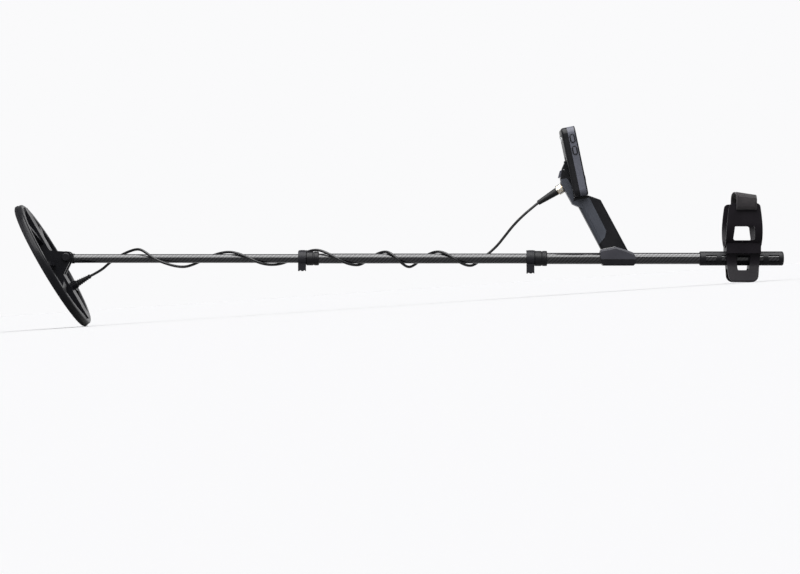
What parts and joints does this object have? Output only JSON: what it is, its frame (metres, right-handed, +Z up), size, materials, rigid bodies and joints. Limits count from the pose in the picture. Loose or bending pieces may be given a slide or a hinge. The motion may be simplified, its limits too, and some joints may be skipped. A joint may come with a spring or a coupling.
{
  "type": "metal detector",
  "caption": "Telescoping hand-held metal detector: round tilting search coil, carbon shaft with lever locks, wound cable, pistol grip, control pod and arm cuff with stand.",
  "frame": {"origin": "on the surface that the detector stands on, below the middle of its bounding box", "axes": "+Z up, +X from the search coil to the rear end, +Y to the operator's right"},
  "size_m": [1.4266, 0.2586, 0.3118],
  "materials": {
    "carbon_fibre": "clear-coated woven carbon fibre",
    "black_plastic": "satin moulded",
    "lever_plastic": "satin moulded with a textured grip",
    "steel": "plain",
    "saddle_plastic": "fine moulded grain",
    "grip_black": "soft-touch",
    "grip_panel": "fine moulded grain, blue-grey",
    "battery_wrap": "shrink wrap",
    "socket_metal": "plated",
    "plug_metal": "knurled, plated",
    "band_plastic": "satin, blue-grey",
    "bezel_plastic": "satin",
    "display_glass": "polished",
    "circuit": "solder mask",
    "torch_clear": "clear",
    "cable_rubber": "smooth sheath",
    "coil_plastic": "fine texture",
    "skid_plastic": "smooth satin",
    "winding": "varnished wire in resin",
    "bolt_plastic": "satin",
    "cuff_plastic": "satin",
    "webbing": "woven tape",
    "key_rubber": "satin"
  },
  "bodies": {
    "handle": {"upper_tube": "carbon_fibre", "lock_collar_2": "black_plastic", "lock_pin_2": "steel", "arm_track": "black_plastic", "end_cap": "black_plastic", "saddle": "saddle_plastic", "saddle_cap": "black_plastic", "handle_screws": "steel", "grip_left_shell": "grip_black", "grip_right_shell": "grip_black", "grip_left_panel": "grip_panel", "grip_right_panel": "grip_panel", "battery_cell": "battery_wrap", "socket_housing": "black_plastic", "coil_socket": "socket_metal", "trigger_pin": "steel", "pod_rear_housing": "black_plastic", "pod_side_band": "band_plastic", "pod_front_bezel": "bezel_plastic", "display_lens": "display_glass", "display_module": "circuit", "main_board": "circuit", "speaker": "circuit", "torch_lens": "torch_clear", "plug_body": "socket_metal", "plug_boot": "cable_rubber", "cable_tail": "cable_rubber"},
    "middle_shaft": {"middle_tube": "carbon_fibre", "lock_collar_1": "black_plastic", "lock_pin_1": "steel", "middle_tube_bush": "black_plastic", "cable_past_lock": "cable_rubber", "cable_middle_wrap": "cable_rubber"},
    "lower_shaft": {"lower_yoke": "black_plastic", "friction_washers": "cable_rubber", "lower_tube": "carbon_fibre", "lower_tube_bush": "black_plastic", "cable_lower_wrap": "cable_rubber"},
    "coil": {"coil_shell": "coil_plastic", "coil_base": "coil_plastic", "transmit_winding": "winding", "receive_winding": "winding", "skid_plate": "skid_plastic", "cable_boot": "cable_rubber", "pivot_bolt": "bolt_plastic", "pivot_nut": "bolt_plastic", "cable_coil_lead": "cable_rubber"},
    "lock_lever_1": {"lock_lever_1": "lever_plastic"},
    "lock_lever_2": {"lock_lever_2": "lever_plastic"},
    "cuff": {"arm_cuff": "cuff_plastic", "stand": "cuff_plastic", "arm_strap": "webbing"},
    "trigger": {"trigger": "key_rubber"},
    "side_button_1": {"side_button_1": "key_rubber"},
    "side_button_2": {"side_button_2": "key_rubber"},
    "key_1": {"key_1": "key_rubber"},
    "key_2": {"key_2": "key_rubber"},
    "key_3": {"key_3": "key_rubber"},
    "key_4": {"key_4": "key_rubber"},
    "plug_ring": {"plug_ring": "plug_metal"}
  },
  "joints": [
    {"name": "middle_slide", "type": "slide", "parent": "handle", "child": "middle_shaft", "axis": [0.9978, 0, -0.0666], "range_m": [0, 0.155], "deforming": ["cable_middle_wrap"]},
    {"name": "lower_slide", "type": "slide", "parent": "middle_shaft", "child": "lower_shaft", "axis": [0.9978, 0, -0.0666], "range_m": [0, 0.18], "deforming": ["cable_lower_wrap"]},
    {"name": "coil_tilt", "type": "hinge", "parent": "lower_shaft", "child": "coil", "pos_m": [-0.62363, 0, 0.13179], "axis": [0, 1, 0], "range_deg": [-60, 45], "deforming": ["cable_coil_lead"]},
    {"name": "lever_1_open", "type": "hinge", "parent": "middle_shaft", "child": "lock_lever_1", "pos_m": [-0.18393, 0.003, 0.11256], "axis": [-0.9978, 0, 0.0666], "range_deg": [0, 110]},
    {"name": "lever_2_open", "type": "hinge", "parent": "handle", "child": "lock_lever_2", "pos_m": [0.2411, 0.0064, 0.08378], "axis": [-0.9978, 0, 0.0666], "range_deg": [0, 110]},
    {"name": "cuff_slide", "type": "slide", "parent": "handle", "child": "cuff", "axis": [0.9978, 0, -0.0666], "range_m": [-0.035, 0.035]},
    {"name": "trigger_pull", "type": "hinge", "parent": "handle", "child": "trigger", "pos_m": [0.31417, 0, 0.23255], "axis": [0, -1, 0], "range_deg": [0, 9], "stiffness_Nm_per_rad": 0.08, "springref_deg": -5.73},
    {"name": "side_button_1_press", "type": "slide", "parent": "handle", "child": "side_button_1", "axis": [0, 1, 0], "range_m": [0, 0.0008], "stiffness_N_per_m": 800, "springref_m": -0.0005},
    {"name": "side_button_2_press", "type": "slide", "parent": "handle", "child": "side_button_2", "axis": [0, 1, 0], "range_m": [0, 0.0008], "stiffness_N_per_m": 800, "springref_m": -0.0005},
    {"name": "key_1_press", "type": "slide", "parent": "handle", "child": "key_1", "axis": [-0.9906, 0, -0.1371], "range_m": [0, 0.0008], "stiffness_N_per_m": 800, "springref_m": -0.0005},
    {"name": "key_2_press", "type": "slide", "parent": "handle", "child": "key_2", "axis": [-0.9906, 0, -0.1371], "range_m": [0, 0.0008], "stiffness_N_per_m": 800, "springref_m": -0.0005},
    {"name": "key_3_press", "type": "slide", "parent": "handle", "child": "key_3", "axis": [-0.9906, 0, -0.1371], "range_m": [0, 0.0008], "stiffness_N_per_m": 800, "springref_m": -0.0005},
    {"name": "key_4_press", "type": "slide", "parent": "handle", "child": "key_4", "axis": [-0.9906, 0, -0.1371], "range_m": [0, 0.0008], "stiffness_N_per_m": 800, "springref_m": -0.0005},
    {"name": "plug_ring_turn", "type": "hinge", "parent": "handle", "child": "plug_ring", "pos_m": [0.30651, 0, 0.19748], "axis": [0.8815, 0, 0.4723], "continuous": true}
  ]
}
